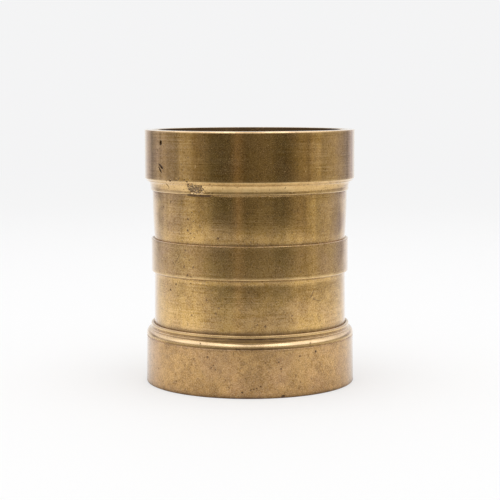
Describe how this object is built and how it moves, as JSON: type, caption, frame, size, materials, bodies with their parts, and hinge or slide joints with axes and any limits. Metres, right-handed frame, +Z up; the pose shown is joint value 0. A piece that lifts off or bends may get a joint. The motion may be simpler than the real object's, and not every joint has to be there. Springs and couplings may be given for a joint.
{
  "type": "standard liquid measure",
  "caption": "Cylindrical brass standard measure of half a pint, with a thick ground rim, a raised middle band and a moulded foot, open at the top.",
  "frame": {"origin": "centre of the foot, on the surface that the measure stands on", "axes": "+Z up along the axis of the bore; every piece is turned about it, so X and Y are free"},
  "size_m": [0.075, 0.075, 0.0903],
  "materials": {
    "wall_brass": "turned, worn and pitted, golden brown",
    "collar_brass": "turned, worn, brown patina, ground flat on top",
    "band_brass": "turned, worn and pitted, brown patina",
    "moulding_brass": "turned and rubbed bright on the bead",
    "foot_brass": "turned, mottled golden and pinkish brown",
    "plate_brass": "turned, dull brown",
    "solder": "dull grey soft solder"
  },
  "bodies": {
    "root": {"barrel": "wall_brass", "rim_collar": "collar_brass", "middle_band": "band_brass", "base_moulding": "moulding_brass", "foot_ring": "foot_brass", "bottom_plate": "plate_brass", "solder_fillet": "solder"}
  },
  "joints": []
}
